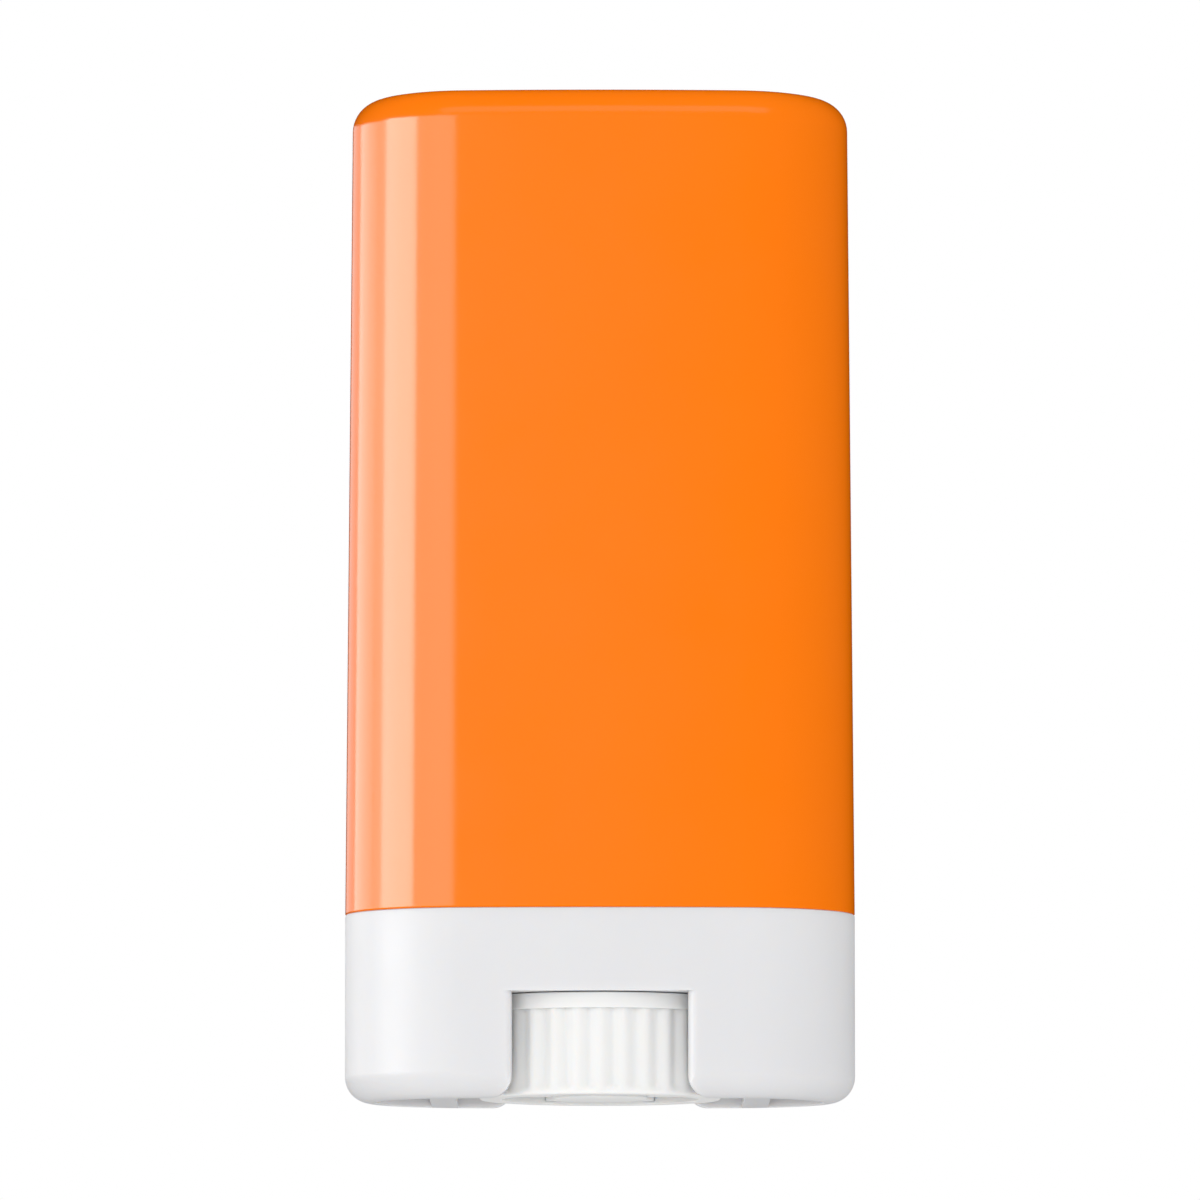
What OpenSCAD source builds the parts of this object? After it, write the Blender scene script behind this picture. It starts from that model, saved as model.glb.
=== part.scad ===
// Twist-up sunscreen stick in an oval pack: orange cap, white barrel on two feet, and a ribbed thumb dial
// whose screw spindle lifts a carrier with the stick on it. Millimetres, Z up, the feet stand on z = 0,
// the face with the window looks along -Y and the origin is under the middle of the pack.

/* [Outline] */
// Width of the pack across its rounded ends
body_w = 31.5; // [28:0.5:40]
// Depth of the pack through its two faces
body_d = 16; // [15.5:0.5:20]
// How much smaller the end radius is than half the depth, which crowns the faces
crown_inset = 0.3; // [0.15:0.05:0.6]

/* [Barrel] */
// Height of the white base, up to the cap's rim
base_h = 11.6; // [10.5:0.1:16]
// Height of the barrel's mouth
mouth_h = 52.5; // [40:0.5:70]
// Wall of the barrel round the stick, at its foot
tube_wall = 1.1; // [0.9:0.05:1.6]
// Wall of the base's skirt, below the deck
skirt_wall = 1.9; // [1.2:0.05:2.2]
// Cross wall between the dial's chamber and each foot's pocket
cross_wall = 1.6; // [0.7:0.1:2]
// Thickness of the deck between the dial and the stick
deck_t = 1.3; // [0.9:0.1:2]
// Rounding of the feet's outer bottom edge
foot_round = 1.6; // [0.4:0.1:1.6]
// Width of the window that shows the dial
window_w = 10.8; // [8:0.1:12]
// Height of the window, from the ground to the deck
window_h = 6.5; // [5.5:0.05:8.5]
// Rounding of the window's upright edges
window_round = 0.5; // [0.1:0.05:0.8]
// Rounding of the feet's inner bottom corners
corner_round = 1.4; // [0.4:0.1:2]
// How far the cap's snap bead stands out of the tube
bead_out = 0.1; // [0.04:0.02:0.12]
// Height of the snap bead over the cap's rim
bead_up = 2.6; // [1.5:0.1:5]

/* [Cap] */
// Wall of the cap at its rim
cap_wall = 1.2; // [0.8:0.05:1.8]
// Thickness of the cap's top
cap_top = 1.4; // [1:0.1:2.5]
// How far the cap leans in on each side, from its rim to its top
cap_draft = 0.38; // [0.1:0.02:0.6]
// Rounding of the cap's top edge
cap_round = 1.9; // [1.2:0.05:3]
// Rounding inside the cap's top edge
cap_inner_round = 0.6; // [0.2:0.1:1]
// Softened edge on both sides of the seam
seam_round = 0.1; // [0.05:0.05:0.3]
// Room between the top of the stick and the inside of the cap
headroom = 4.1; // [1:0.1:8]

/* [Dial] */
// Radius of the dial over its ribs
dial_r = 7.45; // [6:0.05:7.5]
// How far the dial's flange stands out past the ribs
flange_out = 0.15; // [0.05:0.05:0.2]
// Thickness of the dial's flange
flange_t = 0.75; // [0.6:0.05:1.5]
// Number of ribs round the dial
rib_count = 32; // [20:1:40]
// Depth of the grooves between the ribs
groove_deep = 0.25; // [0.1:0.05:0.45]
// Width of a groove
groove_w = 1.26; // [0.8:0.02:1.3]
// Plain height at the dial's bottom, where the grooves run out
groove_low = 0.85; // [0.6:0.05:1.5]
// Softened edges of the dial
dial_round = 0.2; // [0.1:0.05:0.3]
// Wall of the dial, inside the grooves
dial_wall = 1.1; // [0.8:0.1:2]
// Thickness of the dial's top plate
dial_plate = 1.3; // [0.9:0.1:2]
// Radius of the hub under the dial
hub_r = 2.9; // [2.5:0.1:3.5]
// Number of webs under the dial
web_count = 6; // [3:1:8]
// Thickness of a web
web_t = 0.8; // [0.6:0.1:1.2]

/* [Spindle] */
// Radius of the spindle's journal in the deck
journal_r = 2.5; // [2.3:0.05:2.8]
// How far the snap collar over the deck stands out
collar_out = 0.5; // [0.3:0.05:0.6]
// Height of the snap collar
collar_h = 1.4; // [1:0.1:2]
// Radius over the thread's crests
crest_r = 2.45; // [2.1:0.05:2.6]
// Depth of the thread
thread_deep = 0.75; // [0.5:0.05:0.9]
// Lift for one turn of the dial
thread_lead = 4.75; // [4:0.25:6]

/* [Carrier] */
// Thickness of the carrier's plate
plate_t = 1.2; // [0.9:0.1:2]
// Height of the carrier's rim, from its underside
rim_h = 4.2; // [3:0.1:6]
// Wall of the carrier's rim
rim_wall = 0.9; // [0.6:0.05:1.2]
// Length of the carrier's thread
nut_h = 4.2; // [3:0.1:6]
// Wall of the nut round its thread
nut_wall = 1.1; // [0.9:0.1:1.3]
// How far below the mouth the rim stops
stop_below = 2.25; // [1:0.05:6]

/* [Stick] */
// How far the dome rises over the mouth
dome_rise = 4.3; // [2.5:0.1:6]
// Radius of the dome from end to end
dome_long = 27.5; // [20:0.5:60]
// Radius of the dome from face to face
dome_short = 9; // [8:0.5:20]

/* [Clearances] */
// Gap between the cap and the tube
cap_fit = 0.15; // [0.13:0.01:0.3]
// Gap between the dial's flange and the cross walls
dial_fit = 1.25; // [0.3:0.05:2]
// Height of the dial over the ground
dial_lift = 0.2; // [0.1:0.05:0.5]
// Gap between the dial's flange and the deck
flange_gap = 0.12; // [0.1:0.02:0.4]
// Gap at the spindle's two thrust faces
thrust_gap = 0.06; // [0.04:0.01:0.1]
// Gap between the journal and the deck's hole
journal_fit = 0.08; // [0.05:0.01:0.12]
// Gap beside the thread's flanks
thread_fit = 0.12; // [0.1:0.01:0.2]
// Gap over the thread's crests and roots
crest_fit = 0.2; // [0.18:0.01:0.3]
// Gap between the carrier and the tube
carrier_fit = 0.15; // [0.1:0.01:0.25]
// Gap between the carrier and the deck
carrier_gap = 0.25; // [0.15:0.05:0.5]
// Gap between the stick and the tube
stick_fit = 0.1; // [0.06:0.01:0.2]
// Gap between the stick and the carrier
seat_fit = 0.05; // [0.03:0.01:0.1]
// Gap between the stick and the spindle
bore_fit = 0.2; // [0.1:0.05:0.4]

/* [Hidden] */
$fn = 96;

// How far a cut or a joined piece runs past the face that it meets, and the outline's slices past its arcs
over = 1;
reach = 1.3;

// The outline is a four-centre oval: two end arcs and two long face arcs that meet without a corner
end_r = body_d / 2 - crown_inset;
end_x = body_w / 2 - end_r;
face_r = (body_d * body_d / 4 + end_x * end_x - end_r * end_r) / (2 * crown_inset);
face_y = face_r - body_d / 2;

// Insets from that outline
tube_inset = cap_wall + cap_fit;
bore_inset = tube_inset + tube_wall;
carrier_inset = bore_inset + carrier_fit;
stick_inset = bore_inset + stick_fit;
heel_inset = carrier_inset + rim_wall + seat_fit;

// Heights, from the ground up
groove_z = dial_lift + groove_low;
dial_top = window_h - flange_gap;
deck_z = window_h + deck_t;
collar_z = deck_z + thrust_gap;
thread_z = collar_z + collar_h;
carrier_z = deck_z + carrier_gap;
nut_z = thread_z + carrier_gap;
rim_z = carrier_z + rim_h;
travel = mouth_h - stop_below - rim_z;
spindle_z = nut_z + nut_h + travel + carrier_gap;
dome_z = mouth_h + dome_rise;
cap_z = dome_z + headroom + cap_top;
cap_h = cap_z - base_h;

// Radii
flange_r = dial_r + flange_out;
wall_r = dial_r - groove_deep - dial_wall;
boss_r = journal_r + journal_fit + over;
cross_x = flange_r + dial_fit;
collar_r = journal_r + collar_out;
root_r = crest_r - thread_deep;
nut_r = crest_r + crest_fit + nut_wall;
groove_r = (groove_w * groove_w / 4 + groove_deep * groove_deep) / (2 * groove_deep);

// Half angles of a thread's crest and foot, and of the gap beside its flanks
crest_a = 16;
foot_a = 42;
gap_a = 360 * thread_fit / thread_lead;
thread_starts = 2;
turn_slices = 12;

// Plain edges of the slices that the outline's arcs meet at
face_slice_y = face_y * (1 - reach);
module face_slice() {
    polygon([[-end_x, 0], [-reach * end_x, face_slice_y], [reach * end_x, face_slice_y], [end_x, 0]]);
}

module end_slice() {
    polygon([
        [end_x, 0],
        [reach * end_x, face_slice_y],
        [2 * body_w, face_slice_y],
        [2 * body_w, -face_slice_y],
        [reach * end_x, -face_slice_y]
    ]);
}

// The pack's outline, moved in by an inset
module oval(inset) {
    for (turn = [0, 180]) {
        rotate(turn) {
            intersection() {
                translate([0, face_y]) circle(face_r - inset);
                face_slice();
            }
            intersection() {
                translate([end_x, 0]) circle(end_r - inset);
                end_slice();
            }
        }
    }
}

// Carries a wall's section round the outline. In the section x = 0 is the outline and x < 0 is inside it
module around(height) {
    for (turn = [0, 180]) {
        rotate(turn) {
            intersection() {
                translate([0, face_y, 0]) rotate_extrude() intersection() {
                    translate([face_r, 0]) children();
                    translate([face_y - over, 0]) square([body_d, height]);
                }
                linear_extrude(height) face_slice();
            }
            intersection() {
                translate([end_x, 0, 0]) rotate_extrude() intersection() {
                    translate([end_r, 0]) children();
                    square([body_d, height]);
                }
                linear_extrude(height) end_slice();
            }
        }
    }
}

// Corner that a rounded edge takes away, for an edge that looks along +X and +Y
module corner(radius) {
    translate([-radius, -radius]) difference() {
        square(radius + over);
        circle(radius);
    }
}

// Section of a solid with a leaning side and a rounded top edge
module leaning(inset, draft, height, round) {
    difference() {
        polygon([[-body_d, 0], [-inset, 0], [-inset - draft, height], [-body_d, height]]);
        translate([-inset - draft, height]) corner(round);
    }
}

module barrel() {
    color("white") difference() {
        union() {
            around(base_h) difference() {
                translate([-body_d, 0]) square([body_d, base_h]);
                mirror([0, 1]) corner(foot_round);
                translate([0, base_h]) corner(seam_round);
            }
            tube();
        }
        translate([0, 0, deck_z]) linear_extrude(mouth_h) oval(bore_inset);
        translate([0, 0, -over]) cylinder(r = journal_r + journal_fit, h = deck_z + 2 * over);
        underside();
        window();
    }
}

// The tall tube inside the cap leans in as the cap does, and carries the snap bead
module tube() {
    lean = cap_draft * (mouth_h - base_h) / cap_h;
    translate([0, 0, base_h - over]) linear_extrude(2 * over) oval(bore_inset - tube_wall / 2);
    translate([0, 0, base_h]) around(mouth_h - base_h) {
        leaning(tube_inset, lean, mouth_h - base_h, tube_wall / 4);
        translate([-tube_inset - 2 * bead_out, bead_up]) circle(3 * bead_out);
    }
}

// Opening through both faces, with rounded upright edges and rounded corners at the feet
module window() {
    lip_x = window_w / 2 + window_round;
    lip_y = sqrt((face_r - window_round) * (face_r - window_round) - lip_x * lip_x) - face_y;
    translate([-window_w / 2, -body_d, -over]) cube([window_w, 2 * body_d, window_h + over]);
    for (turn = [0, 180], side = [0, 1]) {
        rotate(turn) mirror([side, 0, 0]) translate([0, 0, -over]) linear_extrude(window_h + over) {
            difference() {
                translate([lip_x - window_round - over, lip_y]) square([window_round + over, over]);
                translate([lip_x, lip_y]) circle(window_round);
            }
        }
    }
    for (side = [0, 1]) {
        mirror([side, 0, 0]) translate([window_w / 2, body_d, 0]) rotate([90, 0, 0])
            linear_extrude(2 * body_d) mirror([1, 0]) mirror([0, 1]) corner(corner_round);
    }
}

// The base is open from below, with a cross wall on each side of the dial
module underside() {
    translate([0, 0, -over]) linear_extrude(window_h + over) difference() {
        oval(skirt_wall);
        for (side = [-1, 1]) {
            translate([side * (cross_x + cross_wall / 2), 0]) square([cross_wall, body_d], center = true);
        }
    }
}

module cap() {
    cavity_h = cap_h - cap_top;
    color([1, 0.45, 0.02]) translate([0, 0, base_h]) difference() {
        around(cap_h) difference() {
            leaning(0, cap_draft, cap_h, cap_round);
            mirror([0, 1]) corner(seam_round);
        }
        around(cavity_h) leaning(cap_wall, cap_draft * cavity_h / cap_h, cavity_h, cap_inner_round);
    }
}

module dial() {
    color([0.96, 0.96, 0.96]) {
        difference() {
            rotate_extrude() ribs_section();
            for (i = [0 : rib_count - 1]) {
                rotate(i * 360 / rib_count + 180 / rib_count - 90) groove();
            }
        }
        rotate_extrude() wheel_section();
        for (i = [0 : web_count - 1]) {
            rotate(i * 360 / web_count) translate([hub_r - over / 2, -web_t / 2, dial_lift + dial_round])
                cube([wall_r - hub_r + over, web_t, dial_top - dial_lift - over]);
        }
        spindle();
    }
}

// The wall that carries the ribs, up into the flange
module ribs_section() {
    difference() {
        translate([wall_r, dial_lift]) square([dial_r - wall_r, dial_top - flange_t / 2 - dial_lift]);
        translate([dial_r, dial_lift]) mirror([0, 1]) corner(dial_round);
    }
}

// The hub, the top plate with its flange, and the boss that bears on the deck
module wheel_section() {
    translate([0, dial_lift]) square([hub_r, dial_top - dial_lift]);
    translate([0, dial_top - dial_plate]) square([wall_r + dial_wall / 2, dial_plate]);
    difference() {
        translate([0, dial_top - flange_t]) square([flange_r, flange_t]);
        translate([flange_r, dial_top]) corner(dial_round);
    }
    translate([0, dial_top - over]) square([boss_r, window_h - thrust_gap - dial_top + over]);
}

// Round groove between two ribs, with a scooped end above the dial's lower lip
module groove() {
    translate([dial_r - groove_deep + groove_r, 0, groove_z]) {
        sphere(groove_r);
        cylinder(r = groove_r, h = dial_top - groove_z);
    }
}

module spindle() {
    rotate_extrude() polygon([
        [0, dial_top - over],
        [journal_r, dial_top - over],
        [journal_r, collar_z],
        [collar_r, collar_z],
        [journal_r, thread_z],
        [0, thread_z]
    ]);
    translate([0, 0, thread_z - thread_fit]) thread(spindle_z - thread_z + thread_fit, 0, 0);
}

// A left-hand thread, so that turning the dial anticlockwise from above lifts the carrier. Its phase
// follows the height, and the gaps widen it for the nut
module thread(height, gap, angle_gap) {
    slices = round(height * turn_slices / thread_lead);
    linear_extrude(height, twist = 360 * height / thread_lead, slices = slices, $fn = turn_slices) polygon([
        for (start = [0 : thread_starts - 1], step = thread_steps(gap, angle_gap))
            step[0] * [cos(start * 360 / thread_starts + step[1]), sin(start * 360 / thread_starts + step[1])]
    ]);
}

// Radius and angle of each point of one start, from one crest to the next
function thread_steps(gap, angle_gap) = let (
    crest = crest_a + angle_gap,
    foot = foot_a + angle_gap,
    root_step = (360 / thread_starts - 2 * foot) / 3
) [
    for (i = [-1 : 1]) [crest_r + gap, i * crest],
    for (i = [0 : 3]) [root_r + gap, foot + i * root_step]
];

module carrier() {
    color([0.93, 0.93, 0.93]) difference() {
        union() {
            translate([0, 0, carrier_z]) linear_extrude(plate_t) oval(carrier_inset);
            translate([0, 0, carrier_z]) linear_extrude(rim_h) difference() {
                oval(carrier_inset);
                oval(carrier_inset + rim_wall);
            }
            translate([0, 0, carrier_z]) cylinder(r = nut_r, h = nut_z + nut_h - carrier_z);
        }
        translate([0, 0, carrier_z - over]) cylinder(r = collar_r + thread_fit, h = nut_z - carrier_z + over);
        nut_thread();
    }
}

// The nut's thread is cut at the height and phase of the spindle's
module nut_thread() {
    low = nut_z - thread_fit;
    translate([0, 0, low]) rotate(-360 * (low - thread_z + thread_fit) / thread_lead)
        thread(nut_h + 2 * thread_fit + over, crest_fit, gap_a);
}

module stick() {
    seat_z = carrier_z + plate_t;
    color([1, 0.97, 0.88]) difference() {
        union() {
            translate([0, 0, seat_z]) linear_extrude(rim_z - seat_z + over) oval(heel_inset);
            intersection() {
                translate([0, 0, rim_z + seat_fit]) linear_extrude(dome_z - rim_z) oval(stick_inset);
                dome();
            }
        }
        translate([0, 0, seat_z - over]) cylinder(r = nut_r + seat_fit, h = nut_z + nut_h + seat_fit - seat_z + over);
        translate([0, 0, seat_z]) cylinder(r = crest_r + bore_fit, h = spindle_z + bore_fit - seat_z);
    }
}

// A ring's outer side, rounded along the pack and across it, makes the top of the stick
module dome() {
    translate([0, 0, dome_z - dome_long]) rotate([90, 0, 0]) rotate_extrude() intersection() {
        union() {
            translate([dome_long - dome_short, 0]) circle(dome_short);
            translate([0, -dome_short]) square([dome_long - dome_short, 2 * dome_short]);
        }
        translate([0, -body_d / 2]) square([dome_long + over, body_d]);
    }
    translate([-body_w / 2, -body_d / 2, 0]) cube([body_w, body_d, dome_z - dome_long]);
}

barrel();
cap();
dial();
carrier();
stick();
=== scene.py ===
import math

import bmesh
import bpy
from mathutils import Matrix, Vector


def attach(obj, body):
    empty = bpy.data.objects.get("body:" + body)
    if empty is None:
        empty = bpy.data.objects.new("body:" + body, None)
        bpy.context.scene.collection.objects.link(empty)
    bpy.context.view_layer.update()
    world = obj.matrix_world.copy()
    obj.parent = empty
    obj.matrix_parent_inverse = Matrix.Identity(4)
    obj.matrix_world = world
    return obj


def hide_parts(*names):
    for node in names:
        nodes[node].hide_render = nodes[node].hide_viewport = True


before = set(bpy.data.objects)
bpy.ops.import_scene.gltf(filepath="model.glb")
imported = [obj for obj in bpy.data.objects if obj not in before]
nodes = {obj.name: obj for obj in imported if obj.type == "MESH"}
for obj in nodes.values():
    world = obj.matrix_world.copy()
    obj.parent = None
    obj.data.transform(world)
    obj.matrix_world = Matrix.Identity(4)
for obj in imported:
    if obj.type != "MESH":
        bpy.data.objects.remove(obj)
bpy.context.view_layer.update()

# Barrel. White polypropylene, injection-moulded in one shot: an oval base on two feet with a window in
# each face for the dial, and the tall tube that the stick slides in, with a snap bead for the cap.


def linear(code, alpha=1.0):
    """A colour written as sRGB hex, as the linear numbers that the shaders take."""
    channels = [int(code[i:i + 2], 16) / 255 for i in (1, 3, 5)]
    return tuple(c / 12.92 if c <= 0.04045 else ((c + 0.055) / 1.055) ** 2.4 for c in channels) + (alpha,)


def add(tree, kind, inputs=(), **settings):
    """Adds a node with its settings. An input that is given a socket is linked, and any other is set."""
    made = tree.nodes.new(kind)
    for name, value in settings.items():
        setattr(made, name, value)
    for key, value in dict(inputs).items():
        for one in value if isinstance(value, list) else [value]:
            if isinstance(one, bpy.types.NodeSocket):
                tree.links.new(one, made.inputs[key])
            else:
                made.inputs[key].default_value = one
    return made


def moulded_plastic(name, light, dark, rough_low, rough_high, bump_mm, specular=0.5, soft_mm=0.0):
    """Injection-moulded plastic: soft clouds in the pigment, and a skin with the faint waves that the
    melt leaves as it shrinks on the steel. Sizes in millimetres."""
    material = bpy.data.materials.new(name)
    material.use_nodes = True
    tree = material.node_tree
    tree.nodes.clear()
    place = add(tree, "ShaderNodeTexCoord").outputs["Object"]
    # Pigment clouds about 9 mm across
    clouds = add(tree, "ShaderNodeTexNoise", {"Vector": place, "Scale": 1 / 0.009, "Detail": 3, "Roughness": 0.5})
    tint = add(tree, "ShaderNodeMix", {0: clouds.outputs["Fac"], 6: linear(light), 7: linear(dark)}, data_type="RGBA")
    # Handling and the mould's polish vary the gloss over about 5 mm
    polish = add(tree, "ShaderNodeTexNoise", {"Vector": place, "Scale": 1 / 0.005, "Detail": 4, "Roughness": 0.6})
    rough = add(tree, "ShaderNodeMapRange", {"Value": polish.outputs["Fac"], "From Min": 0.35, "From Max": 0.65,
                                             "To Min": rough_low, "To Max": rough_high})
    # Shrinkage waves about 2.5 mm long, and a fine skin of about 0.12 mm at an eighth of their height
    waves = add(tree, "ShaderNodeTexNoise", {"Vector": place, "Scale": 1 / 0.0025, "Detail": 2})
    skin = add(tree, "ShaderNodeTexNoise", {"Vector": place, "Scale": 1 / 0.00012, "Detail": 1})
    height = add(tree, "ShaderNodeMath", {0: skin.outputs["Fac"], 1: 0.12, 2: waves.outputs["Fac"]},
                 operation="MULTIPLY_ADD")
    bump = add(tree, "ShaderNodeBump", {"Height": height.outputs[0], "Strength": 1.0, "Distance": bump_mm / 1000})
    shader = add(tree, "ShaderNodeBsdfPrincipled", {
        "Base Color": tint.outputs[2], "Roughness": rough.outputs[0], "IOR": 1.49,
        "Specular IOR Level": specular, "Normal": bump.outputs[0]})
    if soft_mm:
        shader.inputs["Subsurface Weight"].default_value = 1.0
        shader.inputs["Subsurface Radius"].default_value = (1.0, 0.9, 0.8)
        shader.inputs["Subsurface Scale"].default_value = soft_mm / 1000
    add(tree, "ShaderNodeOutputMaterial", {"Surface": shader.outputs[0]})
    return material


def fitted(piece, node, body):
    """Puts a finished piece in its CAD node's place, with normals that favour the large faces."""
    weights = piece.modifiers.new("flat faces first", "WEIGHTED_NORMAL")
    weights.keep_sharp = True
    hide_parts(node)
    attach(piece, body)
    return piece


def dressed_copy(name, node, material, crease=28):
    """A merged copy of a CAD node's mesh that shades smoothly up to its creases."""
    mesh = nodes[node].data.copy()
    mesh.name = name
    form = bmesh.new()
    form.from_mesh(mesh)
    bmesh.ops.remove_doubles(form, verts=form.verts, dist=2e-7)
    for edge in form.edges:
        edge.smooth = len(edge.link_faces) == 2 and edge.calc_face_angle(0) < math.radians(crease)
    for face in form.faces:
        face.smooth = True
    form.to_mesh(mesh)
    form.free()
    mesh.materials.clear()
    mesh.materials.append(material)
    piece = bpy.data.objects.new(name, mesh)
    bpy.context.scene.collection.objects.link(piece)
    return piece


# Polypropylene, moulded on fine-polished steel: white with a satin gloss, a little soft in its depth
white_polypropylene = moulded_plastic("satin_moulded_white_polypropylene", "#E6E6E7", "#E2E2E4", 0.34, 0.42, 0.004,
                                      0.4, soft_mm=0.5)
fitted(dressed_copy("pack_barrel", "barrel", white_polypropylene), "barrel", "base")

# Dial. White polypropylene: the ribbed thumb wheel under the deck, moulded in one with its hub, webs and
# the two-start screw spindle, and snapped up through the deck's hole.


def sized_tree(name, sizes):
    """A Geometry Nodes tree with a named input for each size and for the material."""
    tree = bpy.data.node_groups.new(name, "GeometryNodeTree")
    tree.interface.new_socket("Geometry", in_out="OUTPUT", socket_type="NodeSocketGeometry")
    for size, value in sizes.items():
        kind = "NodeSocketInt" if isinstance(value, int) else "NodeSocketFloat"
        tree.interface.new_socket(size, in_out="INPUT", socket_type=kind)
    tree.interface.new_socket("Material", in_out="INPUT", socket_type="NodeSocketMaterial")
    return tree, add(tree, "NodeGroupInput").outputs


def rounded_line(tree, corners, steps):
    """A line through corners in the XY plane, each given as x, y and its rounding, at sizes or sockets."""
    index = add(tree, "GeometryNodeInputIndex").outputs[0]
    places = add(tree, "GeometryNodeIndexSwitch", {0: index}, data_type="VECTOR")
    rounds = add(tree, "GeometryNodeIndexSwitch", {0: index}, data_type="FLOAT")
    for i, (x, y, rounding) in enumerate(corners):
        if i > 1:
            places.index_switch_items.new()
            rounds.index_switch_items.new()
        tree.links.new(add(tree, "ShaderNodeCombineXYZ", {0: x, 1: y}).outputs[0], places.inputs[i + 1])
        if isinstance(rounding, bpy.types.NodeSocket):
            tree.links.new(rounding, rounds.inputs[i + 1])
        else:
            rounds.inputs[i + 1].default_value = rounding
    points = add(tree, "GeometryNodePoints", {"Count": len(corners), "Position": places.outputs[0]})
    line = add(tree, "GeometryNodePointsToCurves", {0: points.outputs[0]})
    return add(tree, "GeometryNodeFilletCurve", {
        "Curve": line.outputs[0], "Radius": rounds.outputs[0], "Count": steps}, mode="POLY").outputs[0]


def finish_tree(tree, mesh, material, crease):
    """Merges the seams, marks the creases, and ends the tree with the material."""
    whole = add(tree, "GeometryNodeMergeByDistance", {"Geometry": mesh, "Distance": 2e-6})
    soft = add(tree, "GeometryNodeSetShadeSmooth", {"Geometry": whole.outputs[0], "Shade Smooth": True})
    angle = add(tree, "GeometryNodeInputMeshEdgeAngle").outputs[0]
    sharp = add(tree, "FunctionNodeCompare", {0: angle, 1: math.radians(crease)}, operation="GREATER_THAN")
    creased = add(tree, "GeometryNodeSetShadeSmooth", {
        "Geometry": soft.outputs[0], "Selection": sharp.outputs[0], "Shade Smooth": False}, domain="EDGE")
    real = add(tree, "GeometryNodeRealizeInstances", {"Geometry": creased.outputs[0]})
    dressed = add(tree, "GeometryNodeSetMaterial", {"Geometry": real.outputs[0], "Material": material})
    add(tree, "NodeGroupOutput", {0: dressed.outputs[0]})


def baked(name, tree, sizes, material):
    """The tree's result at these sizes, as an object with a plain mesh."""
    piece = bpy.data.objects.new(name, bpy.data.meshes.new(name))
    bpy.context.scene.collection.objects.link(piece)
    maker = piece.modifiers.new("shape", "NODES")
    maker.node_group = tree
    for item in tree.interface.items_tree:
        if item.in_out == "INPUT":
            maker[item.identifier] = material if item.name == "Material" else sizes[item.name]
    evaluated = piece.evaluated_get(bpy.context.evaluated_depsgraph_get())
    mesh = bpy.data.meshes.new_from_object(evaluated)
    piece.modifiers.remove(maker)
    piece.data = mesh
    mesh.name = name
    return piece


wheel_sizes = {
    "Rib Radius": 0.00745, "Wall Radius": 0.0061, "Flange Radius": 0.0076, "Hub Radius": 0.0029,
    "Boss Radius": 0.00358, "Journal Radius": 0.0025, "Collar Radius": 0.003,
    "Bottom": 0.0002, "Plate Underside": 0.00508, "Flange Underside": 0.00548, "Top": 0.00644, "Boss Top": 0.00645,
    "Collar Bottom": 0.00786, "Thread Bottom": 0.00926, "Spindle Top": 0.05196,
    "Edge Rounding": 0.00015, "Flange Rounding": 0.00008,
    "Ribs": 32, "Steps a Rib": 12, "Rib Sharpness": 0.85, "Wall Rings": 30,
    "Groove Depth": 0.00025, "Groove Bottom": 0.00035, "Groove Full": 0.00085,
    "Webs": 6, "Web Thickness": 0.0008, "Web Bottom": 0.0004, "Web Top": 0.0053, "Web Sunk": 0.0004,
    "Crest Radius": 0.00245, "Root Radius": 0.0017, "Root To": 0.105, "Crest From": 0.848,
    "Lead": 0.00475, "Screw Phase": -0.1587, "Section Steps": 48, "Screw Steps": 220,
}
CORNER_STEPS = 6
WALL_START = CORNER_STEPS + 1
tree, size = sized_tree("ribbed thumb wheel and spindle", wheel_sizes)


def turned(radius, height, rounding=0.0):
    """A corner of the wheel's section, as the sweep round the axis takes it: out from the ribs, and down."""
    out = add(tree, "ShaderNodeMath", {0: radius, 1: size["Rib Radius"]}, operation="SUBTRACT").outputs[0]
    down = add(tree, "ShaderNodeMath", {0: height, 1: -1.0}, operation="MULTIPLY").outputs[0]
    return out, down, rounding


section = rounded_line(tree, [
    turned(size["Wall Radius"], size["Bottom"]),
    turned(size["Rib Radius"], size["Bottom"], size["Edge Rounding"]),
    turned(size["Rib Radius"], size["Flange Underside"]),
    turned(size["Flange Radius"], size["Flange Underside"]),
    turned(size["Flange Radius"], size["Top"], size["Flange Rounding"]),
    turned(size["Boss Radius"], size["Top"]),
    turned(size["Boss Radius"], size["Boss Top"]),
    turned(size["Journal Radius"], size["Boss Top"]),
    turned(size["Journal Radius"], size["Collar Bottom"]),
    turned(size["Collar Radius"], size["Collar Bottom"]),
    turned(size["Journal Radius"], size["Thread Bottom"]),
    turned(0.0, size["Thread Bottom"]),
], steps=CORNER_STEPS)
lower = rounded_line(tree, [
    turned(0.0, size["Bottom"]),
    turned(size["Hub Radius"], size["Bottom"], size["Edge Rounding"]),
    turned(size["Hub Radius"], size["Plate Underside"]),
    turned(size["Wall Radius"], size["Plate Underside"]),
    turned(size["Wall Radius"], size["Bottom"]),
], steps=CORNER_STEPS)
steps_round = add(tree, "ShaderNodeMath", {0: size["Ribs"], 1: size["Steps a Rib"]}, operation="MULTIPLY")
axle = add(tree, "GeometryNodeCurvePrimitiveCircle", {"Resolution": steps_round.outputs[0],
                                                      "Radius": size["Rib Radius"]})
axle = add(tree, "GeometryNodeSetCurveNormal", {"Curve": axle.outputs[0]}, mode="Z_UP").outputs[0]
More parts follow.
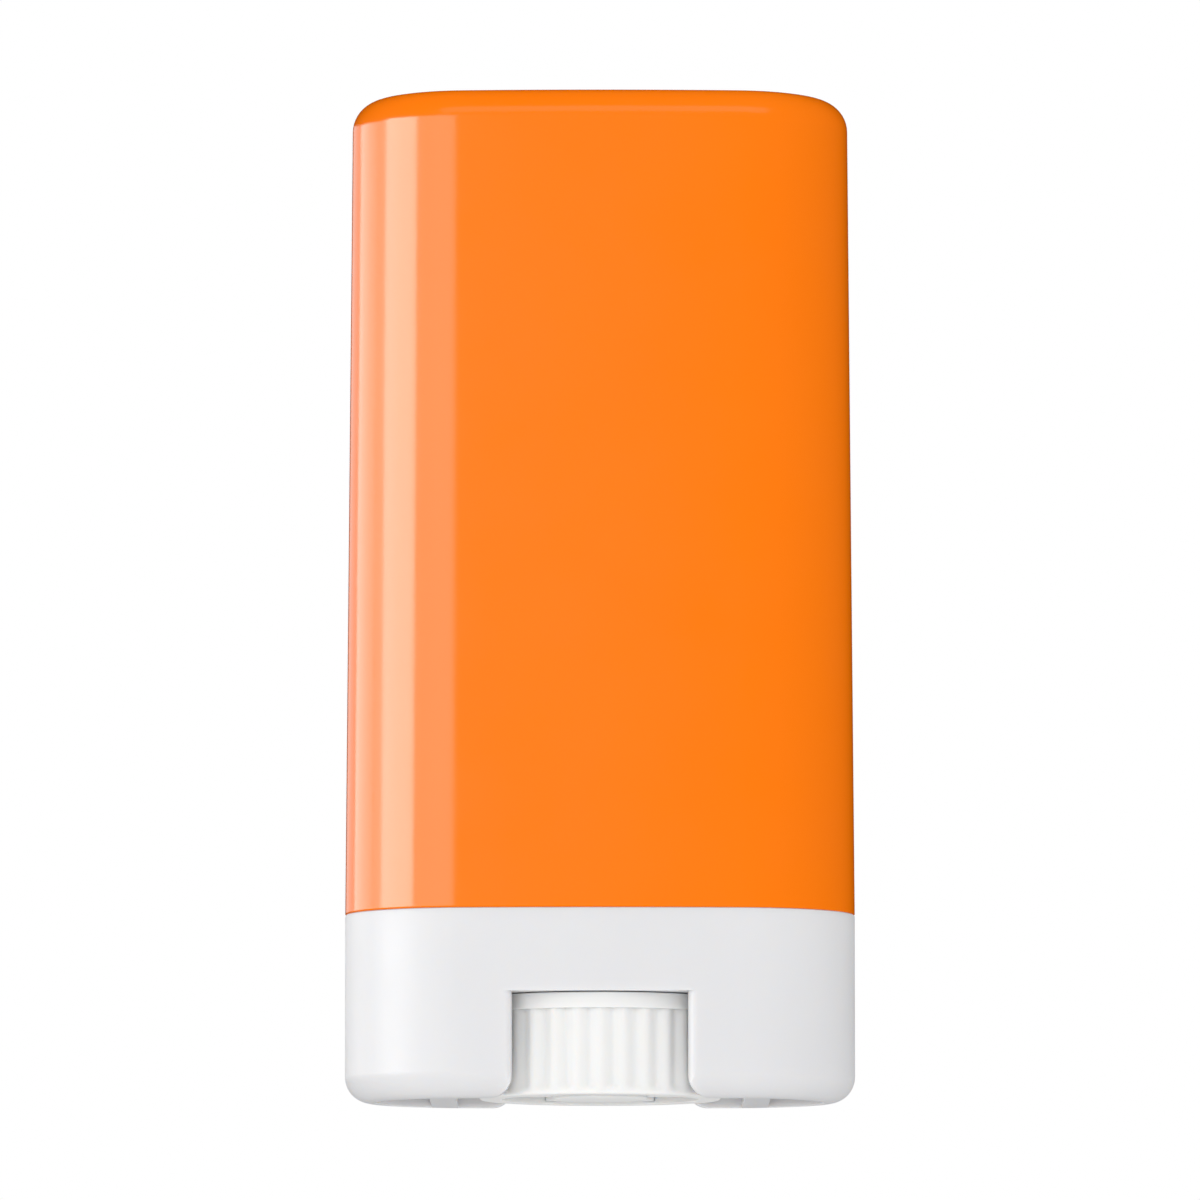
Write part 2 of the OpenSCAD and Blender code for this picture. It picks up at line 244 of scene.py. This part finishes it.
# The grooves fade out near the bottom, so the wall gets rings of its own. It starts at the section's point
# after the rounded lower edge
index = add(tree, "GeometryNodeInputIndex").outputs[0]
at_wall = add(tree, "FunctionNodeCompare", {2: index, 3: WALL_START}, data_type="INT", operation="EQUAL")
cuts = add(tree, "ShaderNodeMath", {0: at_wall.outputs[0], 1: size["Wall Rings"]}, operation="MULTIPLY")
ringed = add(tree, "GeometryNodeSubdivideCurve", {"Curve": section, "Cuts": cuts.outputs[0]})
outside = add(tree, "GeometryNodeCurveToMesh", {"Curve": axle, "Profile Curve": ringed.outputs[0]})
inside = add(tree, "GeometryNodeCurveToMesh", {"Curve": axle, "Profile Curve": lower})
place = add(tree, "GeometryNodeInputPosition").outputs[0]
spread = add(tree, "ShaderNodeSeparateXYZ", {0: place}).outputs
level = add(tree, "ShaderNodeCombineXYZ", {0: spread[0], 1: spread[1]}).outputs[0]
radius = add(tree, "ShaderNodeVectorMath", {0: level}, operation="LENGTH").outputs["Value"]
outward = add(tree, "ShaderNodeVectorMath", {0: level}, operation="NORMALIZE").outputs[0]
angle = add(tree, "ShaderNodeMath", {0: spread[1], 1: spread[0]}, operation="ARCTAN2").outputs[0]
# A rib stands in the middle of each window, broad and round, with a narrower soft groove on each side
turns = add(tree, "ShaderNodeMath", {0: angle, 1: size["Ribs"]}, operation="MULTIPLY")
wave = add(tree, "ShaderNodeMath", {0: turns.outputs[0]}, operation="COSINE")
swell = add(tree, "ShaderNodeMath", {0: wave.outputs[0], 1: 0.5, 2: 0.5}, operation="MULTIPLY_ADD")
crown = add(tree, "ShaderNodeMath", {0: swell.outputs[0], 1: size["Rib Sharpness"]}, operation="POWER")
deep = add(tree, "ShaderNodeMapRange", {"Value": crown.outputs[0], "From Min": 1.0, "From Max": 0.0, "To Min": 0.0,
                                        "To Max": size["Groove Depth"]})
fade = add(tree, "ShaderNodeMapRange", {"Value": spread[2], "From Min": size["Groove Bottom"],
                                        "From Max": size["Groove Full"]}, interpolation_type="SMOOTHSTEP")
pressed = add(tree, "ShaderNodeMath", {0: deep.outputs[0], 1: fade.outputs[0]}, operation="MULTIPLY")
inward = add(tree, "ShaderNodeMath", {0: pressed.outputs[0], 1: -1.0}, operation="MULTIPLY")
offset = add(tree, "ShaderNodeVectorMath", {0: outward, "Scale": inward.outputs[0]}, operation="SCALE")
on_ribs = add(tree, "FunctionNodeCompare", {0: radius, 1: size["Rib Radius"], "Epsilon": 2e-6}, operation="EQUAL")
ribbed = add(tree, "GeometryNodeSetPosition", {"Geometry": outside.outputs[0], "Selection": on_ribs.outputs[0],
                                               "Offset": offset.outputs[0]})
# Webs from the hub to the wall, one box repeated round the axis, its ends sunk a little in both
half_way = add(tree, "ShaderNodeMath", {0: size["Wall Radius"], 1: size["Hub Radius"]}, operation="ADD")
middle = add(tree, "ShaderNodeMath", {0: half_way.outputs[0], 1: 0.5}, operation="MULTIPLY")
long = add(tree, "ShaderNodeMath", {0: size["Wall Radius"], 1: size["Hub Radius"]}, operation="SUBTRACT")
joined = add(tree, "ShaderNodeMath", {0: long.outputs[0], 1: size["Web Sunk"]}, operation="ADD")
tall = add(tree, "ShaderNodeMath", {0: size["Web Top"], 1: size["Web Bottom"]}, operation="SUBTRACT")
centre = add(tree, "ShaderNodeMath", {0: tall.outputs[0], 1: 0.5, 2: size["Web Bottom"]}, operation="MULTIPLY_ADD")
web = add(tree, "GeometryNodeMeshCube", {"Size": add(tree, "ShaderNodeCombineXYZ", {
    0: joined.outputs[0], 1: size["Web Thickness"], 2: tall.outputs[0]}).outputs[0]})
web = add(tree, "GeometryNodeTransform", {"Geometry": web.outputs[0], "Translation": add(
    tree, "ShaderNodeCombineXYZ", {0: middle.outputs[0], 2: centre.outputs[0]}).outputs[0]})
spots = add(tree, "GeometryNodePoints", {"Count": size["Webs"]})
share = add(tree, "ShaderNodeMath", {0: index, 1: size["Webs"]}, operation="DIVIDE")
turn = add(tree, "ShaderNodeMath", {0: share.outputs[0], 1: math.tau}, operation="MULTIPLY")
webs = add(tree, "GeometryNodeInstanceOnPoints", {
    "Points": spots.outputs[0], "Instance": web.outputs[0],
    "Rotation": add(tree, "ShaderNodeCombineXYZ", {2: turn.outputs[0]}).outputs[0]})
webs = add(tree, "GeometryNodeRealizeInstances", {"Geometry": webs.outputs[0]})
# The screw: a two-lobed section drawn up the axis and twisted by a turn for each lead, left-handed, at the
# phase that meets the nut
ring = add(tree, "GeometryNodeCurvePrimitiveCircle", {"Resolution": size["Section Steps"], "Radius": 0.002})
twice = add(tree, "ShaderNodeMath", {0: angle, 1: 2.0}, operation="MULTIPLY")
lobes = add(tree, "ShaderNodeMath", {0: twice.outputs[0]}, operation="COSINE")
crest = add(tree, "ShaderNodeMapRange", {
    "Value": lobes.outputs[0], "From Min": size["Root To"], "From Max": size["Crest From"],
    "To Min": size["Root Radius"], "To Max": size["Crest Radius"]})
lobed = add(tree, "ShaderNodeVectorMath", {0: outward, "Scale": crest.outputs[0]}, operation="SCALE")
ring = add(tree, "GeometryNodeSetPosition", {"Geometry": ring.outputs[0], "Position": lobed.outputs[0]})
core = add(tree, "GeometryNodeCurvePrimitiveLine", {
    "Start": add(tree, "ShaderNodeCombineXYZ", {2: size["Thread Bottom"]}).outputs[0],
    "End": add(tree, "ShaderNodeCombineXYZ", {2: size["Spindle Top"]}).outputs[0]})
core = add(tree, "GeometryNodeResampleCurve", {"Curve": core.outputs[0], "Count": size["Screw Steps"]})
core = add(tree, "GeometryNodeSetCurveNormal", {"Curve": core.outputs[0]}, mode="Z_UP")
screw = add(tree, "GeometryNodeCurveToMesh", {"Curve": core.outputs[0], "Profile Curve": ring.outputs[0],
                                              "Fill Caps": True})
climb = add(tree, "ShaderNodeMath", {0: spread[2], 1: size["Thread Bottom"]}, operation="SUBTRACT")
leads = add(tree, "ShaderNodeMath", {0: climb.outputs[0], 1: size["Lead"]}, operation="DIVIDE")
twist = add(tree, "ShaderNodeMath", {0: leads.outputs[0], 1: -math.tau, 2: size["Screw Phase"]},
            operation="MULTIPLY_ADD")
wound = add(tree, "ShaderNodeVectorRotate", {"Vector": place, "Angle": twist.outputs[0]}, rotation_type="Z_AXIS")
screw = add(tree, "GeometryNodeSetPosition", {"Geometry": screw.outputs[0], "Position": wound.outputs[0]})
wheel = add(tree, "GeometryNodeJoinGeometry", {0: [ribbed.outputs[0], inside.outputs[0]]})
wheel = add(tree, "GeometryNodeFlipFaces", {0: wheel.outputs[0]})
whole = add(tree, "GeometryNodeJoinGeometry", {0: [wheel.outputs[0], webs.outputs[0], screw.outputs[0]]})
finish_tree(tree, whole.outputs[0], size["Material"], crease=40)

# The same polypropylene from a finely blasted insert, so that its ribs shade softly and hardly shine
dial_polypropylene = moulded_plastic("fine_matt_moulded_white_polypropylene", "#F0F0EF", "#ECECEB", 0.46, 0.54, 0.003,
                                     0.2, soft_mm=0.3)
fitted(baked("thumb_dial", tree, wheel_sizes, dial_polypropylene), "dial", "dial")

# Carrier. Natural white polypropylene: a plate with a rim and the nut for the spindle, which climbs the
# tube with the stick.

# Natural polypropylene, matt from a plain steel mould, and cloudy where the light gets into it
carrier_polypropylene = moulded_plastic("matt_moulded_natural_polypropylene", "#E4E3DE", "#DCDBD5", 0.42, 0.5, 0.004,
                                        0.4, soft_mm=0.6)
fitted(dressed_copy("stick_carrier", "carrier", carrier_polypropylene), "carrier", "lift")

# Stick. A pale balm of wax, oils and mineral filter, poured warm on the carrier and set in a domed mould.

# Set wax: a soft skin with a dull shine, and light that goes a millimetre or two into it
balm = moulded_plastic("set_wax_balm", "#FBF3E1", "#F5EBD4", 0.38, 0.5, 0.01, 0.35, soft_mm=1.6)
fitted(dressed_copy("balm_stick", "stick", balm), "stick", "lift")

# Cap. Orange polypropylene, moulded on mirror-polished steel: a deep oval shell with a slight draft and
# a rounded top edge, which pushes over the tube down to the base.

WIDTH, DEPTH, CROWN = 0.0315, 0.016, 0.0003
end_radius = DEPTH / 2 - CROWN
end_centre = WIDTH / 2 - end_radius
face_radius = (DEPTH ** 2 / 4 + end_centre ** 2 - end_radius ** 2) / (2 * CROWN)
cap_sizes = {
    "End Radius": end_radius, "End Centre": end_centre, "Face Radius": face_radius,
    "Face Centre": face_radius - DEPTH / 2, "Rim": 0.0116, "Top": 0.0623, "Draft": 0.00038, "Top Rounding": 0.0019,
    "Seam Rounding": 0.0001, "Wall": 0.0012, "Top Thickness": 0.0014, "Cavity Rounding": 0.0006,
    "Flat From": 0.0045, "End Steps": 129, "Face Steps": 41,
}
tree, size = sized_tree("wall swept round a four-centre oval", cap_sizes)
# The outline: two end arcs and two long face arcs that meet without a corner
turn = add(tree, "ShaderNodeMath", {0: size["End Centre"], 1: size["Face Centre"]}, operation="ARCTAN2").outputs[0]
end_from = add(tree, "ShaderNodeMath", {0: turn, 1: math.pi / 2}, operation="SUBTRACT")
end_sweep = add(tree, "ShaderNodeMath", {0: turn, 1: -2.0, 2: math.pi}, operation="MULTIPLY_ADD")
face_from = add(tree, "ShaderNodeMath", {0: math.pi / 2, 1: turn}, operation="SUBTRACT")
face_sweep = add(tree, "ShaderNodeMath", {0: turn, 1: 2.0}, operation="MULTIPLY")
end = add(tree, "GeometryNodeCurveArc", {"Resolution": size["End Steps"], "Radius": size["End Radius"],
                                         "Start Angle": end_from.outputs[0], "Sweep Angle": end_sweep.outputs[0]})
face = add(tree, "GeometryNodeCurveArc", {"Resolution": size["Face Steps"], "Radius": size["Face Radius"],
                                          "Start Angle": face_from.outputs[0], "Sweep Angle": face_sweep.outputs[0]})
end = add(tree, "GeometryNodeTransform", {"Geometry": end.outputs[0], "Translation": add(
    tree, "ShaderNodeCombineXYZ", {0: size["End Centre"]}).outputs[0]})
back = add(tree, "ShaderNodeMath", {0: size["Face Centre"], 1: -1.0}, operation="MULTIPLY")
face = add(tree, "GeometryNodeTransform", {"Geometry": face.outputs[0], "Translation": add(
    tree, "ShaderNodeCombineXYZ", {1: back.outputs[0]}).outputs[0]})
half = add(tree, "GeometryNodeJoinGeometry", {0: [face.outputs[0], end.outputs[0]]})
other = add(tree, "GeometryNodeTransform", {"Geometry": half.outputs[0], "Rotation": (0, 0, math.pi)})
arcs = add(tree, "GeometryNodeJoinGeometry", {0: [half.outputs[0], other.outputs[0]]})
dots = add(tree, "GeometryNodeCurveToPoints", {"Curve": arcs.outputs[0]}, mode="EVALUATED")
dots = add(tree, "GeometryNodeMergeByDistance", {"Geometry": dots.outputs[0], "Distance": 1e-6})
outline = add(tree, "GeometryNodePointsToCurves", {0: dots.outputs[0]})
outline = add(tree, "GeometryNodeSetSplineCyclic", {"Geometry": outline.outputs[0], "Cyclic": True})
outline = add(tree, "GeometryNodeSetCurveNormal", {"Curve": outline.outputs[0]}, mode="Z_UP")
# The wall's section, from the middle of the top, down the outside, and up inside to the cavity's ceiling
high = add(tree, "ShaderNodeMath", {0: size["Top"], 1: -1.0}, operation="MULTIPLY").outputs[0]
low = add(tree, "ShaderNodeMath", {0: size["Rim"], 1: -1.0}, operation="MULTIPLY").outputs[0]
ceiling = add(tree, "ShaderNodeMath", {0: high, 1: size["Top Thickness"]}, operation="ADD").outputs[0]
flat = add(tree, "ShaderNodeMath", {0: size["Flat From"], 1: -1.0}, operation="MULTIPLY").outputs[0]
leant = add(tree, "ShaderNodeMath", {0: size["Draft"], 1: -1.0}, operation="MULTIPLY").outputs[0]
within = add(tree, "ShaderNodeMath", {0: size["Wall"], 1: -1.0}, operation="MULTIPLY").outputs[0]
cavity = add(tree, "ShaderNodeMath", {0: leant, 1: size["Wall"]}, operation="SUBTRACT").outputs[0]
section = rounded_line(tree, [(flat, high, 0.0), (leant, high, size["Top Rounding"]),
                              (0.0, low, size["Seam Rounding"]), (within, low, 0.0),
                              (cavity, ceiling, size["Cavity Rounding"]), (flat, ceiling, 0.0)], steps=12)
shell = add(tree, "GeometryNodeCurveToMesh", {"Curve": outline.outputs[0], "Profile Curve": section})
# The two open rims of that sweep are closed with flat faces, and the ceiling's face is turned down
beside = add(tree, "GeometryNodeInputMeshEdgeNeighbors").outputs[0]
open_rim = add(tree, "FunctionNodeCompare", {2: beside, 3: 1}, data_type="INT", operation="EQUAL")
rims = add(tree, "GeometryNodeMeshToCurve", {"Mesh": shell.outputs[0], "Selection": open_rim.outputs[0]})
place = add(tree, "GeometryNodeInputPosition").outputs[0]
height = add(tree, "ShaderNodeSeparateXYZ", {0: place}).outputs[2]
level = add(tree, "ShaderNodeMath", {0: size["Top Thickness"], 1: -0.5, 2: size["Top"]}, operation="MULTIPLY_ADD")
upper = add(tree, "FunctionNodeCompare", {0: height, 1: level.outputs[0]}, operation="GREATER_THAN")
parted = add(tree, "GeometryNodeSeparateGeometry", {"Geometry": rims.outputs[0], "Selection": upper.outputs[0]},
             domain="CURVE")
top = add(tree, "GeometryNodeFillCurve", {"Curve": parted.outputs[0]}, mode="NGONS")
top = add(tree, "GeometryNodeTransform", {"Geometry": top.outputs[0], "Translation": add(
    tree, "ShaderNodeCombineXYZ", {2: size["Top"]}).outputs[0]})
under = add(tree, "GeometryNodeFillCurve", {"Curve": parted.outputs[1]}, mode="NGONS")
under = add(tree, "GeometryNodeTransform", {"Geometry": under.outputs[0], "Translation": add(
    tree, "ShaderNodeCombineXYZ", {2: add(tree, "ShaderNodeMath", {0: size["Top"], 1: size["Top Thickness"]},
                                          operation="SUBTRACT").outputs[0]}).outputs[0]})
under = add(tree, "GeometryNodeFlipFaces", {0: under.outputs[0]})
whole = add(tree, "GeometryNodeJoinGeometry", {0: [shell.outputs[0], top.outputs[0], under.outputs[0]]})
finish_tree(tree, whole.outputs[0], size["Material"], crease=40)

# Polypropylene with an orange pigment, from mirror-polished steel: a deep gloss that hardly waves
orange_polypropylene = moulded_plastic("gloss_moulded_orange_polypropylene", "#FF7C00", "#FF7900", 0.15, 0.17, 0.0015,
                                       0.5)
fitted(baked("push_on_cap", tree, cap_sizes, orange_polypropylene), "cap", "cap")

# Studio. A plain pale floor, soft boxes on the left and above for the gloss, one broad soft lamp for the
# form, and a plain white surround for the camera.

PACK_MIDDLE = 0.0314
CAMERA_FAR, CAMERA_LOW, CAMERA_TILT = 0.7, 0.0358, 0.09543
FLOOR_RADIUS, FLOOR_DROP = 1.2, 0.0002
camera_data = bpy.data.cameras.new("camera")
camera_data.sensor_width = 36
camera_data.lens = 340.3
camera = bpy.data.objects.new("camera", camera_data)
camera.location = (0, -CAMERA_FAR, -CAMERA_LOW)
camera.rotation_euler = (math.pi / 2 + CAMERA_TILT, 0, 0)
bpy.context.scene.collection.objects.link(camera)
bpy.context.scene.camera = camera


def soft_box(name, azimuth, elevation, far, width, height, radiance, glossy=True, diffuse=True):
    """A rectangular lamp that faces the pack. Azimuth is from the camera towards the left, in degrees."""
    data = bpy.data.lights.new(name, "AREA")
    data.shape = "RECTANGLE"
    data.size, data.size_y = width, height
    data.energy = radiance * math.pi * width * height
    lamp = bpy.data.objects.new(name, data)
    a, e = math.radians(azimuth), math.radians(elevation)
    lamp.location = Vector((-math.sin(a) * math.cos(e), -math.cos(a) * math.cos(e), math.sin(e))) * far
    lamp.rotation_euler = (-lamp.location).to_track_quat("-Z", "Y").to_euler()
    lamp.location.z += PACK_MIDDLE
    lamp.visible_camera = False
    lamp.visible_glossy = glossy
    lamp.visible_diffuse = diffuse
    bpy.context.scene.collection.objects.link(lamp)


# Each lamp's azimuth and elevation, its distance, width and height in metres, and its radiance. The cap's
# gloss mirrors all but the last, and only the last lights the surfaces
soft_box("left_strip_box", 71.5, 7.5, 0.7, 0.46, 0.24, 8.4, diffuse=False)
soft_box("front_left_panel", 33, 7.5, 0.7, 0.46, 0.24, 2.6, diffuse=False)
soft_box("side_panel", 95.5, 6, 0.7, 0.14, 0.16, 3.4, diffuse=False)
soft_box("rim_strip_box", 118, 6, 0.7, 0.4, 0.16, 3.6, diffuse=False)
soft_box("back_panel", 149, 6, 0.7, 0.34, 0.16, 1.0, diffuse=False)
soft_box("overhead_panel", -5, 40, 0.8, 0.9, 0.3, 0.85, diffuse=False)
soft_box("broad_front_lamp", 16, 8, 0.7, 0.5, 0.5, 1.7, glossy=False)

# The surround: plain white to the camera, and a soft even light on the pack that its gloss doesn't mirror
world = bpy.data.worlds.new("studio")
world.use_nodes = True
bpy.context.scene.world = world
tree = world.node_tree
tree.nodes.clear()
seen = add(tree, "ShaderNodeLightPath").outputs["Is Camera Ray"]
light = add(tree, "ShaderNodeBackground", {"Color": linear("#FFFFFF"), "Strength": 0.88})
paper = add(tree, "ShaderNodeBackground", {"Color": linear("#FFFFFF"), "Strength": 1.0})
both = add(tree, "ShaderNodeMixShader", {0: seen, 1: light.outputs[0], 2: paper.outputs[0]})
add(tree, "ShaderNodeOutputWorld", {"Surface": both.outputs[0]})
world.cycles_visibility.glossy = False

# The floor: seen from above with the pack's shadow, and clear from below
floor_mesh = bpy.data.meshes.new("studio_floor")
form = bmesh.new()
bmesh.ops.create_circle(form, cap_ends=True, segments=96, radius=FLOOR_RADIUS)
bmesh.ops.translate(form, verts=form.verts, vec=(0, 0, -FLOOR_DROP))
for face in form.faces:
    face.normal_update()
    if face.normal.z < 0:
        face.normal_flip()
form.to_mesh(floor_mesh)
form.free()
floor = bpy.data.objects.new("studio_floor", floor_mesh)
bpy.context.scene.collection.objects.link(floor)
paint = bpy.data.materials.new("matt_white_studio_paint")
paint.use_nodes = True
tree = paint.node_tree
tree.nodes.clear()
path = add(tree, "ShaderNodeLightPath")
side = add(tree, "ShaderNodeNewGeometry").outputs["Backfacing"]
above = add(tree, "ShaderNodeMath", {0: 1.0, 1: side}, operation="SUBTRACT")
shown = add(tree, "ShaderNodeMath", {0: above.outputs[0], 1: path.outputs["Is Camera Ray"]}, operation="MULTIPLY")
clear = add(tree, "ShaderNodeBsdfTransparent")
matt = add(tree, "ShaderNodeBsdfDiffuse", {"Color": linear("#F7F7F7")})
mixed = add(tree, "ShaderNodeMixShader", {0: shown.outputs[0], 1: clear.outputs[0], 2: matt.outputs[0]})
add(tree, "ShaderNodeOutputMaterial", {"Surface": mixed.outputs[0]})
floor_mesh.materials.append(paint)

bpy.context.scene.view_settings.view_transform = "Standard"
